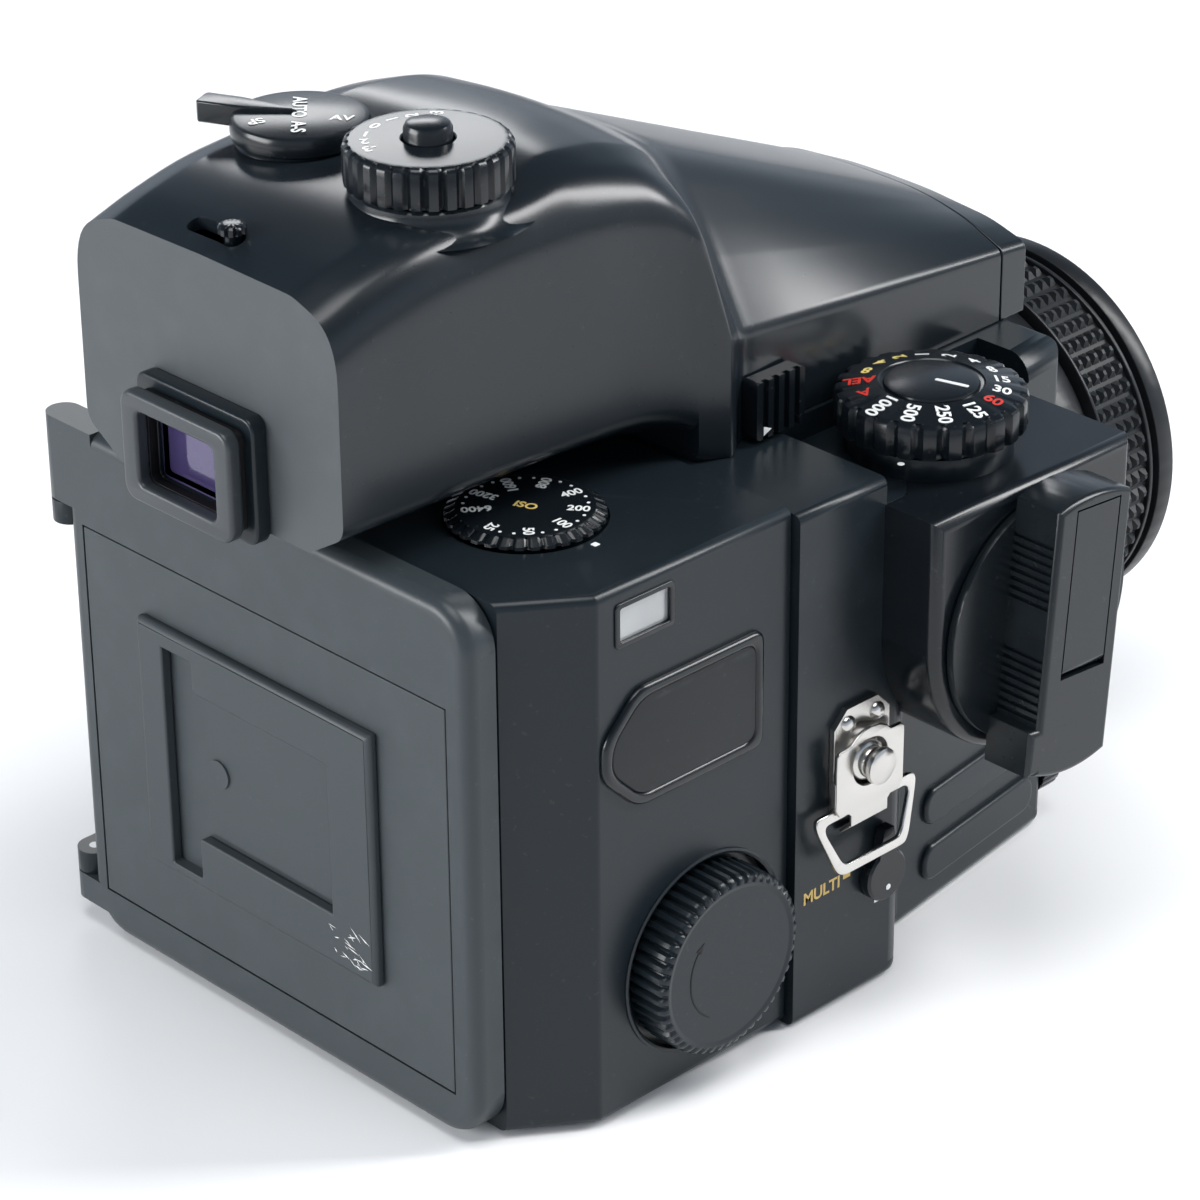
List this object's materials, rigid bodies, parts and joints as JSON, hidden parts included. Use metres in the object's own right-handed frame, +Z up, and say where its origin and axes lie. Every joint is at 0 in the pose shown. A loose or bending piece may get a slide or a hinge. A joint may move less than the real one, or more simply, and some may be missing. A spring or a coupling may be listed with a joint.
{
  "type": "medium format film camera",
  "caption": "Medium format single lens reflex camera with prism finder, film magazine, lens, folding winding crank and controls that move.",
  "frame": {"origin": "centre of the mouth of the tripod socket in the base plate, on the plane the camera stands on", "axes": "-Y along the lens towards the subject, +Y towards the person using it, +X to that subject's side away from the winding crank, +Z up through the finder"},
  "size_m": [0.1362, 0.1984, 0.1566],
  "materials": {
    "black_shell": "satin black moulded plastic",
    "black_gloss": "semi gloss black plastic",
    "black_metal": "black enamelled metal",
    "black_rubber": "black moulded rubber",
    "bright_metal": "polished nickel plate",
    "steel": "brushed steel",
    "alloy": "plain machined alloy",
    "brass_bush": "turned brass, nickel washed",
    "optical_glass": "coated optical glass",
    "clear_window": "clear acrylic",
    "mirror_silver": "front silvered mirror",
    "film_carrier": "matt black carrier",
    "spool_plastic": "black spool plastic"
  },
  "bodies": {
    "camera": {"base_plate": "black_shell", "base_screws": "steel", "body_shell": "black_shell", "counter_window": "clear_window", "crank_housing": "black_shell", "eyecup": "black_rubber", "eyepiece_frame": "black_gloss", "eyepiece_lens": "optical_glass", "film_insert": "film_carrier", "film_rollers": "steel", "focusing_screen": "optical_glass", "hinge_pin": "steel", "iris_blades": "black_metal", "lens_barrel": "black_metal", "lens_mount_ring": "bright_metal", "lug_plates": "bright_metal", "lug_studs": "bright_metal", "magazine_shell": "black_shell", "mirror_box": "black_shell", "pentaprism": "optical_glass", "pressure_plate": "black_metal", "prism_front_frame": "black_shell", "prism_shell": "black_shell", "rear_element": "optical_glass", "shutter_curtain": "black_metal", "shutter_frame": "black_shell", "tripod_bush": "brass_bush"},
    "door": {"rear_door": "black_shell", "door_panel": "black_shell", "memo_holder": "black_shell", "memo_spring": "black_shell", "door_latch": "black_metal"},
    "winder": {"wind_knob": "black_gloss", "take_up_spool": "spool_plastic"},
    "supply": {"supply_spool": "spool_plastic"},
    "film_speed": {"iso_dial": "black_gloss"},
    "shutter_speed": {"shutter_dial": "black_gloss", "dial_cap": "black_gloss"},
    "finder_catch": {"finder_release": "black_shell"},
    "crank": {"crank_disc": "black_gloss", "crank_arm": "black_gloss"},
    "crank_fold": {"crank_handle": "black_gloss"},
    "multi": {"multi_lever": "black_shell"},
    "release": {"shutter_release": "black_gloss"},
    "lock_collar": {"release_collar": "black_gloss"},
    "lens_catch": {"lens_release_button": "black_gloss"},
    "mode": {"mode_dial": "black_gloss"},
    "compensation": {"compensation_knob": "black_gloss"},
    "compensation_lock": {"compensation_button": "black_gloss"},
    "blind": {"blind_lever": "black_metal"},
    "focus": {"focus_ring": "black_metal", "focus_grip": "black_rubber"},
    "front": {"front_barrel": "black_metal", "front_element": "optical_glass"},
    "aperture": {"aperture_ring": "black_metal"},
    "reflex": {"mirror_holder": "alloy", "mirror": "mirror_silver"},
    "strap_right": {"strap_ring_right": "bright_metal"},
    "strap_left": {"strap_ring_left": "bright_metal"},
    "slide": {"dark_slide": "black_metal"}
  },
  "joints": [
    {"name": "door_hinge", "type": "hinge", "parent": "camera", "child": "door", "pos_m": [0.0506, 0.096, 0.05], "axis": [0, 0, -1], "range_deg": [0, 110]},
    {"name": "wind_turn", "type": "hinge", "parent": "camera", "child": "winder", "pos_m": [0, 0.0573, 0.0228], "axis": [1, 0, 0], "continuous": true},
    {"name": "supply_turn", "type": "hinge", "parent": "camera", "child": "supply", "pos_m": [0, 0.066, 0.074], "axis": [1, 0, 0], "continuous": true},
    {"name": "film_speed_turn", "type": "hinge", "parent": "camera", "child": "film_speed", "pos_m": [-0.0295, 0.069, 0.0945], "axis": [0, 0, 1], "range_deg": [-150, 150]},
    {"name": "shutter_speed_turn", "type": "hinge", "parent": "camera", "child": "shutter_speed", "pos_m": [-0.049, -0.0022, 0.095], "axis": [0, 0, 1], "range_deg": [-150, 150]},
    {"name": "finder_catch_slide", "type": "slide", "parent": "camera", "child": "finder_catch", "axis": [0, -1, 0], "range_m": [0, 0.004], "stiffness_N_per_m": 150, "springref_m": -0.002},
    {"name": "crank_turn", "type": "hinge", "parent": "camera", "child": "crank", "pos_m": [0, -0.005, 0.0653], "axis": [1, 0, 0], "continuous": true},
    {"name": "crank_fold_turn", "type": "hinge", "parent": "crank", "child": "crank_fold", "pos_m": [-0.079, -0.0051, 0.06018], "axis": [0, -0.9969, -0.0785], "range_deg": [0, 90]},
    {"name": "multi_turn", "type": "hinge", "parent": "camera", "child": "multi", "pos_m": [-0.0595, 0.018, 0.0215], "axis": [-1, 0, 0], "range_deg": [0, 70]},
    {"name": "release_push", "type": "slide", "parent": "camera", "child": "release", "axis": [0, 1, 0], "range_m": [0, 0.0025], "stiffness_N_per_m": 200, "springref_m": -0.002},
    {"name": "lock_collar_turn", "type": "hinge", "parent": "camera", "child": "lock_collar", "pos_m": [-0.037, -0.044, 0.0095], "axis": [0, 1, 0], "range_deg": [-35, 35]},
    {"name": "lens_catch_push", "type": "slide", "parent": "camera", "child": "lens_catch", "axis": [0, 1, 0], "range_m": [0, 0.0025], "stiffness_N_per_m": 300, "springref_m": -0.002},
    {"name": "mode_turn", "type": "hinge", "parent": "camera", "child": "mode", "pos_m": [0.0145, 0.074, 0.148], "axis": [0, 0, 1], "range_deg": [-30, 30]},
    {"name": "compensation_turn", "type": "hinge", "parent": "camera", "child": "compensation", "pos_m": [-0.015, 0.074, 0.15], "axis": [0, 0, 1], "range_deg": [-120, 120]},
    {"name": "compensation_lock_push", "type": "slide", "parent": "compensation", "child": "compensation_lock", "axis": [0, 0, -1], "range_m": [0, 0.0015], "stiffness_N_per_m": 300, "springref_m": -0.002},
    {"name": "blind_slide", "type": "slide", "parent": "camera", "child": "blind", "axis": [1, 0, 0], "range_m": [0, 0.008]},
    {"name": "focus_turn", "type": "hinge", "parent": "camera", "child": "focus", "pos_m": [0, -0.073, 0.0507], "axis": [0, 1, 0], "range_deg": [0, 200]},
    {"name": "focus_travel", "type": "slide", "parent": "camera", "child": "front", "axis": [0, -1, 0], "range_m": [0, 0.008]},
    {"name": "aperture_turn", "type": "hinge", "parent": "camera", "child": "aperture", "pos_m": [0, -0.053, 0.0507], "axis": [0, 1, 0], "range_deg": [0, 60]},
    {"name": "mirror_lift", "type": "hinge", "parent": "camera", "child": "reflex", "pos_m": [0, 0.028, 0.079], "axis": [-1, 0, 0], "range_deg": [0, 45]},
    {"name": "strap_right_swing", "type": "hinge", "parent": "camera", "child": "strap_right", "pos_m": [-0.0623, 0.024, 0.046], "axis": [1, 0, 0], "range_deg": [-30, 8]},
    {"name": "strap_left_swing", "type": "hinge", "parent": "camera", "child": "strap_left", "pos_m": [0.0522, 0.024, 0.046], "axis": [1, 0, 0], "range_deg": [-45, 0]},
    {"name": "dark_slide_pull", "type": "slide", "parent": "camera", "child": "slide", "axis": [1, 0, 0], "range_m": [0, 0.07]}
  ],
  "couplings": [
    {"joint": "focus_travel", "follows": "focus_turn", "m_per_rad": 0.00229}
  ]
}
